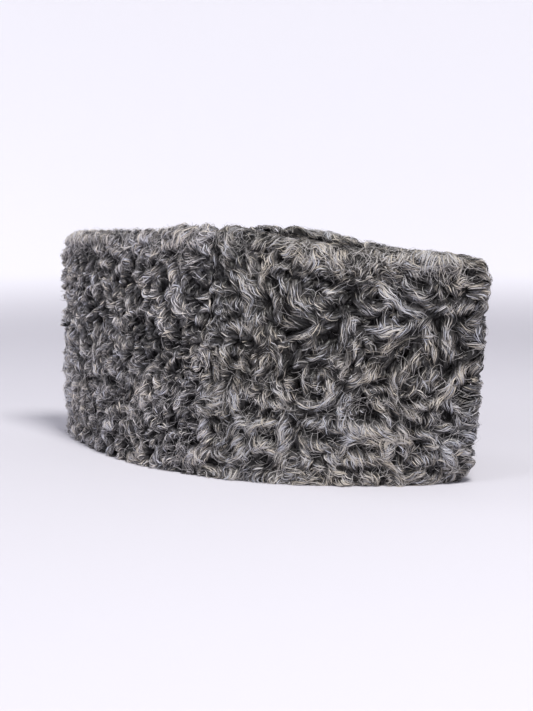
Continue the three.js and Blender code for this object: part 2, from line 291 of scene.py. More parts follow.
def crown_sheet(at, side):
    """Points of the crown's upper side. side is -1 to 1 across it."""
    depth, _ = half_depth(at, 1.0)
    edge = depth + FOLD_RADIUS - CROWN_GAP
    reach = np.sqrt(np.maximum(0, 1 - at * at))
    rounded = CREASE_ROUND / np.maximum(edge, CREASE_ROUND)
    rise = (np.hypot(side, rounded) - rounded) / (np.hypot(1, rounded) - rounded)
    z = edge_height(at) - CROWN_INSET - CREASE_DEPTH * reach * (1 - rise)
    return np.stack([at * TOP_LENGTH / 2 + MIDDLE[0], side * edge + MIDDLE[1], z], -1)


def crown_slant(at):
    """The length of the crown's slope from its crease to its edge."""
    depth, _ = half_depth(at, 1.0)
    reach = np.sqrt(np.maximum(0, 1 - at * at))
    return np.hypot(depth, CREASE_DEPTH * reach)


# The surfaces that the fur stands on

def on_wall(along, height, lift):
    """Points over the fur side of the wall, and over its top edge, lift off it."""
    at, turn = round_hide(along)
    edge = edge_height(at) - HIDE / 2
    roll = np.clip((height - edge) / ROLL_RADIUS, 0, ROLL_MOST)
    middle, out = wall_point(at, turn, np.minimum(height, edge), FOLD_RADIUS + HIDE / 2)
    outward = out * np.cos(roll)[..., None] + np.array([0, 0, 1.0]) * np.sin(roll)[..., None]
    over = np.clip(roll / (np.pi / 2) - 1, 0, 1)
    flatter = np.maximum(0, TOP_FLATTER + TOP_FLATTER_FRONT * at + TOP_FLATTER_LEFT * np.clip(turn, 0, 1))
    lift = lift * (1 - flatter * np.sin(np.minimum(roll, np.pi / 2)) - 0.35 * over)
    low_corner = np.clip(1 - height / CORNER, 0, 1) ** 2 * np.clip((at - 0.9) / 0.1, 0, 1)
    near_ends = np.clip((np.abs(at) - 0.93) / 0.07, 0, 1)
    top_corner = np.clip(1 - (edge - height) / CORNER, 0, 1) ** 2 * near_ends
    lift = lift * (1 - LOW_CORNER_FLATTER * low_corner) * (1 - TOP_CORNER_FLATTER * top_corner)
    points = middle + outward * (HIDE / 2 + lift)[..., None]
    points[..., 2] = np.maximum(points[..., 2], LEAST_LIFT)
    return points


def pressed(distance, room):
    """Distances as they are past room, and squeezed into it below."""
    return np.where(distance < room, room * np.exp(np.minimum(distance / room - 1, 0)), distance)


def kept_off_seams(is_front):
    """on_wall, with the hairs of one pelt pressed back from both side seams and up off the rim."""

    def place(along, height, lift):
        height = pressed(height, RIM_ROOM) - 0.9 * MM
        wander = 0.9 * MM * (np.sin(height / (3.1 * MM)) + 0.6 * np.sin(height / (1.7 * MM) + 1))
        right, left = seam_along(height, -1) + wander, seam_along(height, 1) + wander
        middle = GIRTH / 2 if is_front else 0.0
        offset = np.mod(along - middle + GIRTH / 2, GIRTH) - GIRTH / 2
        low = (right if is_front else left - GIRTH) - middle + SEAM_HALF
        high = (left if is_front else right) - middle - SEAM_HALF
        blended = SEAM_BLEND * np.clip((SEAM_BLENDS_BELOW - height) / (20 * MM), 0, 1)
        low, high = low - blended, high + blended
        offset = low + pressed(offset - low, SEAM_ROOM)
        offset = high - pressed(high - offset, SEAM_ROOM)
        near = np.minimum(offset - low, high - offset) + 3 * blended
        lift = lift * (0.6 + 0.4 * np.clip(near / (2 * SEAM_ROOM), 0, 1))
        return on_wall(middle + offset, height, lift)

    return place


def on_crown(along, across, lift):
    """Points over the fur side of the crown: along from its middle, across from its crease, lift off it."""
    at = np.clip(2 * along / TOP_LENGTH, -0.985, 0.985)
    side = np.clip(across / np.maximum(crown_slant(at), 4 * MM), -1.06, 1.06)
    here = crown_sheet(at, side)
    ahead = crown_sheet(at + 0.004, side) - here
    beside = crown_sheet(at, side + 0.01) - here
    return here + unit(np.cross(ahead, beside)) * lift[..., None]


# Arrays

def unit(vectors):
    return vectors / np.maximum(np.linalg.norm(vectors, axis=-1, keepdims=True), 1e-9)


def kept(table, keep):
    """The rows of a table to keep. A table has an array for each named column."""
    return {name: column[keep] for name, column in table.items()}


def stacked(*tables):
    """The rows of several tables as one, with the last one's columns."""
    return {name: np.concatenate([table[name] for table in tables]) for name in tables[-1]}


def smooth_noise(rng, x, y, scale):
    """A smooth random number of about -1 to 1 for each place."""
    total = np.zeros_like(x)
    for _ in range(5):
        angle, phase = rng.uniform(0, 2 * np.pi, 2)
        size = scale * rng.uniform(0.7, 1.5)
        total += np.sin(2 * np.pi * (x * np.cos(angle) + y * np.sin(angle)) / size + phase)
    return total / 2.2


def scattered(rng, left, right, low, high, pitch, row_pitch, jitter=0.3):
    """Places in staggered rows, each a little off its own."""
    columns = int(round((right - left) / pitch))
    rows = int(round((high - low) / row_pitch))
    j, i = np.meshgrid(np.arange(rows + 1), np.arange(columns), indexing="ij")
    along = left + (i + 0.5 * (j % 2) + rng.uniform(-jitter, jitter, i.shape)) * (right - left) / columns
    height = low + (j + rng.uniform(-jitter, jitter, i.shape)) * (high - low) / rows
    return along.ravel(), height.ravel()


def axes(rows, steps):
    """The bent axes of waves or locks, and their headings, at equal steps."""
    s = np.linspace(0, 1, steps + 1)
    turned = rows["heading"][:, None] + rows["curl"][:, None] * (s - 0.5)
    turned = turned + rows["sway"][:, None] * np.sin(2 * np.pi * s)
    turned = turned + rows["hook"][:, None] * np.clip(2 * s - 1, 0, 1) ** 2
    step = rows["length"][:, None] / steps
    middles = (turned[:, 1:] + turned[:, :-1]) / 2
    u = np.concatenate([0 * step, np.cumsum(step * np.cos(middles), 1)], 1)
    v = np.concatenate([0 * step, np.cumsum(step * np.sin(middles), 1)], 1)
    u = u - u.mean(1, keepdims=True) + rows["along"][:, None]
    v = v - v.mean(1, keepdims=True) + rows["height"][:, None]
    return u, v, turned


# Meshes from arrays

def joined(parts):
    """Several (points, quads, tone, tint) as one."""
    starts = np.cumsum([0] + [len(points) for points, _, _, _ in parts])
    quads = np.concatenate([quads + start for (_, quads, _, _), start in zip(parts, starts)])
    points, tone, tint = (np.concatenate([part[column] for part in parts]) for column in (0, 2, 3))
    return points, quads, tone, tint


def mesh_object(name, points, quads, tone=None, tint=None):
    mesh = bpy.data.meshes.new(name)
    mesh.vertices.add(len(points))
    mesh.vertices.foreach_set("co", points.astype(np.float32).ravel())
    mesh.loops.add(quads.size)
    mesh.loops.foreach_set("vertex_index", quads.astype(np.int32).ravel())
    mesh.polygons.add(len(quads))
    mesh.polygons.foreach_set("loop_start", np.arange(0, quads.size, quads.shape[1], dtype=np.int32))
    mesh.polygons.foreach_set("use_smooth", np.full(len(quads), True))
    for column, values in (("tone", tone), ("tint", tint)):
        if values is not None:
            attribute = mesh.attributes.new(column, "FLOAT", "POINT")
            attribute.data.foreach_set("value", values.astype(np.float32))
    mesh.update(calc_edges=True)
    mesh.validate()
    piece = bpy.data.objects.new(name, mesh)
    bpy.context.collection.objects.link(piece)
    return piece


def ribbons(points, outward, half_width, lean=0.0):
    """Points and quads of flat ribbons along rows of points, turned by lean out of their surface."""
    side = unit(np.cross(unit(np.gradient(points, axis=1)), outward))
    side = side * np.cos(lean) + outward * np.sin(lean)
    both = np.stack([points - side * half_width, points + side * half_width], 2)
    both[..., 2] = np.maximum(both[..., 2], HAIR_OFF_FLOOR)
    rows, stops = points.shape[:2]
    first = (np.arange(rows)[:, None] * stops + np.arange(stops - 1)[None, :]) * 2
    quads = np.stack([first, first + 1, first + 3, first + 2], -1).reshape(-1, 4)
    return both.reshape(-1, 3), quads


# Waves, tufts and hairs

class Waves:
    """The waves that fur lies in, with maps of their height and of which is on top, over a surface."""

    CELL = 0.75 * MM
    VALLEY = 0.16  # share of the pile between the waves
    STEPS = 12
    TUFT_STEPS = 24

    def __init__(self, left, right, low, high, level_below=-1.0):
        self.left, self.low, self.level_below = left, low, level_below
        shape = int((high - low) / self.CELL) + 2, int((right - left) / self.CELL) + 2
        self.height = np.zeros(shape)
        self.owner = np.full(shape, -1)
        self.rows = []

    def cells(self, u, v):
        x = np.clip((u - self.left) / self.CELL, 0, self.height.shape[1] - 1.001)
        y = np.clip((v - self.low) / self.CELL, 0, self.height.shape[0] - 1.001)
        return x, y

    def height_at(self, u, v):
        x, y = self.cells(u, v)
        i, j = x.astype(int), y.astype(int)
        x, y = x - i, y - j
        below = self.height[j, i] * (1 - x) + self.height[j, i + 1] * x
        above = self.height[j + 1, i] * (1 - x) + self.height[j + 1, i + 1] * x
        return below * (1 - y) + above * y

    def relief(self, u, v):
        """The share of its pile that fur has at a place."""
        return self.VALLEY + (1 - self.VALLEY) * self.height_at(u, np.maximum(v, self.level_below))

    def lay(self, rows, where_bare=0):
        """Lays waves over those that are there, or only where these are lower than where_bare."""
        u, v, _ = axes(rows, self.STEPS)
        for row in range(len(u)):
            if where_bare and self.height_at(rows["along"][row], rows["height"][row]) > where_bare:
                continue
            self.rows.append({name: column[row] for name, column in rows.items()})
            for k in range(self.STEPS + 1):
                top = rows["crest"][row] * np.sin(np.pi * (0.14 + 0.72 * k / self.STEPS)) ** 0.5
                self.raise_map(u[row, k], v[row, k], top, 0.53 * rows["width"][row] * top)

    def raise_map(self, u, v, top, reach):
        """Gives the last wave a round bump, wherever it stands higher than what is there."""
        x, y = self.cells(u, v)
        size = int(reach / self.CELL) + 2
        i0, i1 = max(int(x) - size, 0), min(int(x) + size + 2, self.height.shape[1])
        j0, j1 = max(int(y) - size, 0), min(int(y) + size + 2, self.height.shape[0])
        across = np.hypot(np.arange(i0, i1)[None, :] - x, np.arange(j0, j1)[:, None] - y) * self.CELL
        bump = top * np.clip(1 - (across / reach) ** 2, 0, 1) ** 0.7
        window = slice(j0, j1), slice(i0, i1)
        higher = bump > self.height[window]
        self.height[window] = np.where(higher, bump, self.height[window])
        self.owner[window] = np.where(higher, len(self.rows) - 1, self.owner[window])

    def tufts(self, rng, area, most):
        """Tufts that make up the waves: over a wave that hairs cross, or along one that they follow.

        area is of surface to a tuft, and most is the length of the longest.
        """
        rows = {name: np.array([row[name] for row in self.rows]) for name in self.rows[0]}
        u, v, turned = axes(rows, self.TUFT_STEPS)
        number = np.maximum(3, rows["length"] * rows["width"] / area + 0.5).astype(int)
        row = np.repeat(np.arange(len(u)), number)
        count = len(row)
        place = np.arange(count) - np.repeat(np.cumsum(number) - number, number)
        k = ((place + rng.uniform(0.1, 0.9, count)) / number[row] * self.TUFT_STEPS).astype(int)
        over = np.abs(np.sin(rows["cross"]))[row]
        wave_length, wave_width = rows["length"][row], rows["width"][row]
        aside = 0.76 * (np.mod(0.618 * place + 0.37 * row, 1) - 0.5) * wave_width * (1 - 0.75 * over)
        way = turned[row, k]
        along, height = u[row, k] + aside * np.sin(way), v[row, k] - aside * np.cos(way)
        x, y = self.cells(along, height)
        hidden = self.owner[(y + 0.5).astype(int), (x + 0.5).astype(int)] != row
        length = (1 - over) * 0.62 * wave_length + over * 1.2 * wave_width
        return kept(dict(
            along=along,
            height=height,
            heading=way + rows["cross"][row],
            curl=(1 - over) * rows["curl"][row] * 0.62 + (0.3 + 0.7 * over) * rows["bow"][row],
            length=np.minimum(length, most),
            tone=rows["tone"][row],
        ), ~hidden | (rng.random(count) < 0.15))


class Fur:
    """Locks on one surface. Each column of locks is an array with a number for each lock."""

    STEPS = 24

    def __init__(self, surface, waves, locks, rng):
        self.surface, self.waves, self.locks, self.rng = surface, waves, locks, rng
        self.count = len(locks["along"])
        self.u, self.v, self.turned = axes(locks, self.STEPS)

    def part(self, keep):
        return Fur(self.surface, self.waves, kept(self.locks, keep), self.rng)

    def axis(self, lock, s):
        """Where the axis of each lock lies at s, and its heading."""
        place = np.clip(s, 0, 1) * self.STEPS
        low = np.minimum(place.astype(int), self.STEPS - 1)
        part = place - low

        def between(table):
            return table[lock, low] * (1 - part) + table[lock, low + 1] * part

        return between(self.u), between(self.v), between(self.turned)

    def section(self, lock, s):
        """Half width, half thickness and lift of the axis at s. A full flame narrows all the way up."""
        s = np.clip(s, 0, 1)
        width, pile, flame = (self.locks[name][lock] for name in ("width", "pile", "flame"))
        even = 0.45 + 0.55 * np.sin(np.pi * np.clip(0.10 + 0.84 * s**0.85, 0, 1)) ** 0.7
        narrowing = 0.16 + 0.92 * (1 - s**1.7) * np.clip(0.55 + 2 * s, 0, 1)
        taper = even + (narrowing - even) * flame
        half = width / 2 * taper
        thick = np.minimum(half, pile * 0.52 * taper)
        arch = np.sin(np.pi * np.clip(0.1 + 0.62 * s, 0, 1))
        return half, thick, thick * 0.35 + (pile - 1.35 * thick) * arch

    def place(self, lock, s, angle, share, beside=(0, 0)):
        """Points round the axis, and how high they are, at an angle and a share of the section's radius."""
        u, v, turned = self.axis(lock, s)
        half, thick, lift = self.section(lock, s)
        aside = half * share * np.cos(angle)
        u, v = u + aside * np.sin(turned) + beside[0], v - aside * np.cos(turned) + beside[1]
        up = np.maximum(lift + thick * share * np.sin(angle), LEAST_LIFT) * self.waves.relief(u, v)
        return self.surface(u, v, up), up

    def cores(self, around=5, along=3):
        """The bodies of the locks: closed tubes, a little inside the hairs."""
        stops = np.arange(self.count), np.arange(along + 1), np.arange(around)
        lock, k, j = np.meshgrid(*stops, indexing="ij")
        share = np.where((k == 0) | (k == along), 0.15, 0.72)
        points, up = self.place(lock, 0.02 + 0.96 * k / along, 2 * np.pi * j / around, share)
        here = (lock * (along + 1) + k) * around
        this, beside = here + j, here + (j + 1) % around
        keep = k < along
        quads = np.stack([this[keep], beside[keep], beside[keep] + around, this[keep] + around], -1)
        # Cores are darker the lower they lie under the full pile: painted shade deep in the fur.
        tone = 0.02 + 0.35 * self.locks["tone"][lock] - 0.4 * (1 - up / FULL_PILE)
        return points.reshape(-1, 3), quads, tone.ravel(), 0 * tone.ravel()

    def hair_locks(self, count):
        """The lock of each hair, for about count hairs, shared out by the size of the locks."""
        area = self.locks["length"] * self.locks["width"] * self.locks["crowd"]
        number = np.maximum(3, count * area / area.sum() + 0.5).astype(int)
        return np.repeat(np.arange(self.count), number)

    def hair_paths(self, lock, t):
        """Where hairs run: s along their lock, angle round it and share of its radius, at each step t."""
        rng, total = self.rng, len(lock)
        length, wide, bow = (self.locks[name][lock] for name in ("length", "width", "bow"))
        cross = np.clip(self.locks["cross"][lock] + rng.normal(0, 0.12, total), -1.4, 1.4)
        rate = np.tan(cross) * length / (wide * 0.5)
        over = rng.uniform(0.65, 1.1, total) * np.pi
        span = np.minimum(over / np.maximum(np.abs(rate), 1e-3), rng.uniform(0.38, 0.7, total))
        pipe = np.clip(np.abs(rate) * span / 2.2, 0, 1)
        middle = rng.uniform(0, 1, total) * (1.04 - 0.7 * span) + 0.35 * span - 0.02
        spread = rng.uniform(-0.55, 0.55, total) * np.pi
        angle_middle = np.pi / 2 + (1 - pipe) * spread + pipe * rng.normal(0, 0.4, total)
        wave = (rng.normal(0, 0.5, total) + lock * 1.7)[:, None]
        bowed = pipe[:, None] * (bow[:, None] * (4 * t**2 - 0.3) + 0.16 * np.sin(2 * np.pi * t + wave))
        s = middle[:, None] + span[:, None] * t + bowed * (wide / length)[:, None]
        turns = (length / (11 * MM))[:, None]
        crimp = (1 - pipe)[:, None] * 0.25 * np.sin(2 * np.pi * turns * s + wave)
        angle = angle_middle[:, None] + (rate * span)[:, None] * t + crimp
        stands_off = rng.random(total) < 0.07
        fly = np.where(stands_off, rng.uniform(0.1, 0.45, total), rng.normal(0.02, 0.05, total))[:, None]
        turns, phase = rng.uniform(0.8, 1.5, total)[:, None], rng.random(total)[:, None]
        weave = rng.uniform(0.02, 0.08, total)[:, None] * np.cos(2 * np.pi * (t * turns + phase))
        share = 0.97 + rng.normal(0, 0.06, total)[:, None] + weave
        return s, angle, share - 0.14 * np.abs(2 * t) ** 3 + fly * (t + 0.5) ** 2

    def hair_points(self, lock, s, angle, share):
        """Points of the hairs, how high they are, and the way that faces out of lock and wave there."""
        points, up = self.place(lock, s, angle, share)
        inner, _ = self.place(lock, s, angle, share * 0.5)
        ahead, _ = self.place(lock, s, angle, share, (1.5 * MM, 0))
        above, _ = self.place(lock, s, angle, share, (0, 1.5 * MM))
        slope = unit(np.cross(ahead - points, above - points))
        return points, up, unit(0.5 * unit(points - inner) + slope)

    def hairs(self, count, steps, width):
        """Ribbons of hair over the locks, about count in all. Those deep between the waves are darker, as
        painted shade.
        """
        rng = self.rng
        lock = self.hair_locks(count)
        total = len(lock)
        t = np.linspace(-0.5, 0.5, steps + 1)[None, :]
        s, angle, share = self.hair_paths(lock, t)
        points, up, outward = self.hair_points(np.broadcast_to(lock[:, None], s.shape), s, angle, share)
        lean = rng.normal(0, 0.45, total)[:, None, None]
        thin = np.sqrt(np.clip(1 - np.abs(2 * t) ** 2.2, 0.02, 1))
        half_width = (width * rng.uniform(0.5, 1.3, total)[:, None] * thin)[..., None] / 2
        both, quads = ribbons(points, outward, half_width, lean)
        shade = self.locks["tone"][lock] + rng.normal(0, 0.17, total)
        shade = shade + np.where(rng.random(total) < 0.12, 0.15, 0)
        # The lower a hair lies under the full pile, the darker its tone: painted shade between the waves.
        # Hairs are also lighter toward their tips.
        depth = np.clip(up / FULL_PILE, 0, 1.08)
        tone = shade[:, None] + 0.58 - 2.9 * (1 - depth) + 0.24 * t
        tint = self.locks["tint"][lock] + rng.normal(0.1, 0.85, total)
        return both, quads, np.repeat(tone, 2), np.repeat(tint, 2 * (steps + 1))

    def fuzz(self, count, width, steps=4):
        """Loose thin hairs that stand off the locks, most of them where the cap's outline passes."""
        rng = self.rng
        at, _ = round_hide(self.locks["along"])
        near_top = self.locks["height"] > edge_height(at) - 5 * MM
        weights = np.where(near_top, 8.0, 1.0) + 0.5 * (np.abs(at) > 0.97)
        lock = rng.choice(self.count, count, p=weights / weights.sum())
        t = np.linspace(0, 1, steps + 1)[None, :]
        u, v, turned = self.axis(lock, rng.uniform(0.1, 0.9, count))
        way = turned + rng.normal(0, 1.2, count)
        bend, reach = rng.normal(0, 1.4, count)[:, None], rng.uniform(5, 12, count)[:, None] * MM
        turn = way[:, None] + bend * t
        aside = rng.normal(0, 0.3, count) * self.locks["width"][lock]
        u = (u - aside * np.sin(turned))[:, None] + reach * np.cumsum(np.cos(turn), 1) / (steps + 1)
        v = (v + aside * np.cos(turned))[:, None] + reach * np.cumsum(np.sin(turn), 1) / (steps + 1)
        up = self.locks["pile"][lock][:, None] * 0.85 * self.waves.relief(u, v)
        up = up + rng.uniform(0.3, 2.6, count)[:, None] * MM * np.sin(np.pi * (0.1 + 0.7 * t))
        points = self.surface(u, v, up)
        outward = unit(points - self.surface(u, v, up * 0.5))
        both, quads = ribbons(points, outward, width / 2 * (1 - 0.85 * t)[..., None])
        tone = np.repeat(rng.uniform(0.45, 0.85, count), 2 * (steps + 1))
        return both, quads, tone, 0 * tone


# The fur of the pelts

def drawn(rng, count, **spreads):
    """Columns of random numbers about 0, each with its spread."""
    return {name: rng.normal(0, spread, count) for name, spread in spreads.items()}


def charted(rows, rng):
    """The columns of a table of waves."""
    along, height, heading, length, width, curl, cross, tone = np.array(rows, dtype=float).T
    count = len(along)
    return dict(
        along=along * MM,
        height=height * MM,
        heading=np.radians(heading),
        curl=np.radians(curl) * 1.2,
        **drawn(rng, count, sway=0.2, hook=0.4),
        length=length * MM,
        width=width * MM,
        crest=rng.uniform(0.85, 1, count),
        bow=rng.choice((-1, 1), count) * rng.uniform(0.8, 2.0, count),
        cross=np.radians(cross),
        tone=tone - 0.06 * np.exp(-((height - 62) / 20) ** 2),
    )


def edge_waves(kind, rng, left, right):
    """A line of waves over the top edge, whose hairs cross it."""
    pitch = kind.edge_pitch * MM
    along = np.arange(left, right, pitch)
    count = len(along)
    along = along + rng.uniform(-0.2, 0.2, count) * pitch
    at, _ = round_hide(along)
    return dict(
        along=along,
        height=edge_height(at) + rng.uniform(-3, 4.5, count) * MM,
        **drawn(rng, count, heading=0.4, curl=0.5, sway=0.3, hook=0.3),
        length=1.5 * pitch * rng.uniform(0.85, 1.15, count),
        width=12.5 * MM * rng.uniform(0.75, 1.15, count),
        crest=rng.uniform(0.82, 1, count),
        bow=rng.choice((-1, 1), count) * rng.uniform(0.8, 2.0, count),
        cross=rng.uniform(0.7, 1.4, count) * np.sign(smooth_noise(rng, along, along, 40 * MM)),
        tone=0.6 + rng.normal(0, 0.04, count),
    )


def scattered_waves(kind, size, rng, *area):
    """Waves at random, all over a side of a pelt. Near the top edge they lie along it."""
    pitch, row_pitch = kind.wave_pitch * size * MM, kind.wave_row_pitch * size * MM
    along, height = scattered(rng, *area, pitch, row_pitch)
    at, _ = round_hide(along)
    height = height * (edge_height(at) / SIDE_HEIGHT)
    count = len(along)
    level = 1 - 0.8 * np.clip((height - edge_height(at) + 14 * MM) / (8 * MM), 0, 1)
    straight = 0.25 + 0.75 * level
    swirl = smooth_noise(rng, along, height, kind.swirl * MM)
    heading = (1.6 * swirl + rng.normal(0, 0.4, count) + kind.wave_heading) * level
    hand = np.sign(smooth_noise(rng, along, height, 60 * MM) + rng.normal(0, 0.35, count))
    return dict(
        along=along,
        height=height,
        heading=np.where(rng.random(count) < 0.5, heading, heading + np.pi),
        curl=rng.choice((-1, 1), count) * rng.uniform(*kind.wave_curl, count) * straight,
        **drawn(rng, count, sway=0.5, hook=0.8),
        length=kind.wave_length * size * MM * rng.uniform(0.6, 1.35, count),
        width=kind.wave_width * size * MM * rng.uniform(0.75, 1.25, count),
        crest=rng.uniform(0.75, 1, count),
        bow=rng.choice((-1, 1), count) * rng.uniform(*kind.wave_bow, count),
        cross=hand * np.where(rng.random(count) < 0.35, *crossings(rng, count)),
        tone=kind.wave_tone + 0.06 * smooth_noise(rng, along, height, 40 * MM),
    )


def crossings(rng, count):
    """Angles of hairs that follow a wave, and of hairs that cross it."""
    return rng.uniform(0, 0.3, count), rng.uniform(0.8, 1.3, count)


def pelt_waves(kind, side, rng, left, right, low, high):
    """The waves of a side of a pelt: charted ones where the photograph shows them, then ever smaller ones."""
    margin = 12 * MM
    waves = Waves(left - 2 * margin, right + 2 * margin, low - margin, high + margin, 4.5 * MM)
    is_charted = kind.is_front and side < 0
    if is_charted:
        waves.lay(charted(FRONT_WAVES, rng))
    area = left - margin, right + margin, low, high
    waves.lay(edge_waves(kind, rng, *area[:2]))
    waves.lay(scattered_waves(kind, 1, rng, *area), BARE_CHARTED * is_charted)
    waves.lay(scattered_waves(kind, kind.size_2, rng, *area), kind.bare_2)
    waves.lay(scattered_waves(kind, kind.size_3, rng, *area), kind.bare_3)
    return waves


def pelt_tone(kind, tone, height, from_fold):
    """The tone of a pelt's locks. The back pelt is lighter near its fold, a painted rim light, and a little
    lighter low down.
    """
    if kind.is_front:
        return tone
    # Lighter near the back fold: painted rim light where the fur's outline is lit from behind.
    rim_light_near_fold = np.clip((32 * MM - from_fold) / (22 * MM), 0, 1)
    return tone + 0.5 * rim_light_near_fold + 0.07 * (1 - height / SIDE_HEIGHT) + 0.02


def pelt_locks(kind, rng, tufts, from_fold):
    """The locks of a pelt, from its tufts. Beside the fold they are shorter, narrower and have more hair."""
    along, height = tufts["along"], tufts["height"]
    count = len(along)
    on_fold = np.exp(-(from_fold / FOLD_REACH) ** 2)
    tone = tufts["tone"] + rng.normal(0, 0.08, count) - 0.1 * on_fold
    shorter = 1 - 0.55 * on_fold * np.abs(np.cos(tufts["heading"]))
    return dict(
        along=along,
        height=height,
        heading=tufts["heading"] + rng.normal(0, 0.08, count),
        curl=tufts["curl"] + rng.normal(0, 0.15, count),
        **drawn(rng, count, sway=0.25, hook=kind.tuft_hook),
        length=tufts["length"] * rng.uniform(0.85, 1.15, count) * shorter,
        width=kind.tuft_width * MM * rng.uniform(0.75, 1.3, count) * (1 - 0.4 * on_fold),
        crowd=1 + 3 * on_fold,
        pile=FULL_PILE * rng.uniform(0.86, 1.05, count),
        flame=rng.uniform(*kind.tuft_flame, count),
        **drawn(rng, count, cross=0.2, bow=0.3),
        tone=pelt_tone(kind, tone, height, from_fold),
        tint=0.5 * smooth_noise(rng, along, height, 50 * MM) + rng.normal(0, 0.3, count),
    )


def under_wool(rng, along, height, pile):
    """Low tufts every way, under the waves and between them."""
    count = len(along)
    return dict(
        along=along,
        height=height,
        heading=rng.uniform(0, 2 * np.pi, count),
        **drawn(rng, count, curl=1.2, sway=0.4, hook=0.8),
        length=12 * MM * rng.uniform(0.8, 1.2, count),
        width=9 * MM * rng.uniform(0.8, 1.2, count),
        crowd=np.ones(count),
        pile=pile * rng.uniform(0.9, 1.1, count),
        flame=np.zeros(count),
        cross=rng.normal(0, 0.3, count),
        bow=np.zeros(count),
        tone=0.55 + rng.normal(0, 0.05, count),
        tint=rng.normal(0, 0.4, count),
    )


def pelt_fur(kind, side, seed):
    """The locks of a pelt on one side of the cap, from its seam to its fold."""
    rng = np.random.default_rng(seed)
    seam = seam_along(SIDE_HEIGHT / 2, side)
    fold = GIRTH / 2 if kind.is_front else (0.0 if side < 0 else GIRTH)
    left, right = sorted((seam, fold))
    toward_fold = 1 if fold > seam else -1
    low, high = -1.5 * MM, SIDE_HEIGHT + 11 * MM
    waves = pelt_waves(kind, side, rng, left, right, low, high)
    tufts = waves.tufts(rng, kind.tuft_area * MM * MM, kind.tuft_most * MM)
    from_seam = (tufts["along"] - seam_along(tufts["height"], side)) * toward_fold
    from_fold = (fold - tufts["along"]) * toward_fold
    keep = (from_seam > -2 * MM) & (from_fold > -2 * MM) & (tufts["height"] > low) & (tufts["height"] < high)
    locks = pelt_locks(kind, rng, kept(tufts, keep), from_fold[keep])
    along, height = scattered(rng, left, right, 1 * MM, high - 2 * MM, 8 * MM, 6.5 * MM, 0.4)
    keep = (along - seam_along(height, side)) * toward_fold > 0
    wool = under_wool(rng, along[keep], height[keep], 0.62 * FULL_PILE)
    return Fur(kept_off_seams(kind.is_front), waves, stacked(locks, wool), rng)


# The fur of the crown

def crown_waves(rng, half, reach):
    waves = Waves(-half - 0.02, half + 0.02, -reach - 0.02, reach + 0.02)
    for size, where_bare in ((1.0, 0), (0.6, 0.4)):
        along, across = scattered(rng, -half, half, -reach, reach, 15 * MM * size, 9 * MM * size)
        count = len(along)
        waves.lay(dict(
            along=along,
            height=across,
            **drawn(rng, count, heading=0.4, curl=0.9, sway=0.35, hook=0.6),
            length=26 * MM * size * rng.uniform(0.7, 1.2, count),
            width=12 * MM * size * rng.uniform(0.8, 1.2, count),
            crest=rng.uniform(0.8, 1, count),
            bow=rng.choice((-1, 1), count) * rng.uniform(0.6, 1.6, count),
            cross=rng.choice((-1, 1), count) * rng.uniform(0.2, 1.2, count),
            tone=0.6 + rng.normal(0, 0.05, count),
        ), where_bare)
    return waves


def inside_crown(locks, inset):
    """The locks that lie on the crown, inset from its edge."""
    slant = crown_slant(np.clip(2 * locks["along"] / TOP_LENGTH, -1, 1))
    on_length = np.abs(locks["along"]) < TOP_LENGTH / 2 - inset
    return kept(locks, (np.abs(locks["height"]) < slant - inset) & on_length)


def crown_fur(seed):
    rng = np.random.default_rng(seed)
    half, reach = TOP_LENGTH / 2, crown_slant(0.0)
    waves = crown_waves(rng, half, reach)
    locks = inside_crown(waves.tufts(rng, 52 * MM * MM, 21 * MM), 0)
    count = len(locks["along"])
    locks.update(
        heading=locks["heading"] + rng.normal(0, 0.2, count),
        **drawn(rng, count, sway=0.3, hook=0.6),
        width=7 * MM * rng.uniform(0.8, 1.2, count),
        crowd=np.ones(count),
        pile=CROWN_PILE * rng.uniform(0.8, 1.1, count),
        flame=rng.uniform(0.4, 1, count),
        **drawn(rng, count, cross=0.2, bow=0.3, tint=0.3),
    )
    along, across = scattered(rng, -half, half, -reach, reach, 9 * MM, 6.5 * MM, 0.4)
    wool = inside_crown(under_wool(rng, along, across, 0.6 * FULL_PILE), 1 * MM)
    return Fur(on_crown, waves, stacked(locks, wool), rng)


# The hides under the fur

def closed_sheet(name, outer, inner):
    """A closed wall between two grids of points. Its inner face and its edges have the second material."""
    grid = np.arange(outer[..., 0].size).reshape(outer.shape[:2])
    back = grid + grid.size
    sheets = (
        (grid[:-1, :-1], grid[:-1, 1:], grid[1:, 1:], grid[1:, :-1]),
        (back[:-1, 1:], back[:-1, :-1], back[1:, :-1], back[1:, 1:]),
        (grid[0, 1:], grid[0, :-1], back[0, :-1], back[0, 1:]),
        (grid[-1, :-1], grid[-1, 1:], back[-1, 1:], back[-1, :-1]),
        (grid[:-1, 0], grid[1:, 0], back[1:, 0], back[:-1, 0]),
        (grid[1:, -1], grid[:-1, -1], back[:-1, -1], back[1:, -1]),
    )
    quads = [np.stack([corner.ravel() for corner in sheet], -1) for sheet in sheets]
    points = np.concatenate([outer.reshape(-1, 3), inner.reshape(-1, 3)])
    piece = mesh_object(name, points, np.concatenate(quads))
    inside = np.zeros(len(piece.data.polygons), dtype=np.int32)
    inside[len(quads[0]):] = 1
    piece.data.polygons.foreach_set("material_index", inside)
    return piece


def hide_shell(name, is_front):
    """One pelt's hide, from seam to seam round its fold."""
    rows, columns = 14, 90
    up = np.linspace(0, 1, rows)[:, None]
    share = np.linspace(0, 1, columns)[None, :]
    level = up * SIDE_HEIGHT + 0 * share
    right, left = seam_along(level, -1), seam_along(level, 1)
    low = right if is_front else left - GIRTH
    high = left if is_front else right
    at, turn = round_hide(low + SEAM_HALF / 2 + (high - low - SEAM_HALF) * share)
    outer, _ = wall_point(at, turn, up * edge_height(at), FOLD_RADIUS + HIDE)
    inner, _ = wall_point(at, turn, up * edge_height(at), FOLD_RADIUS)
    return closed_sheet(name, outer, inner)


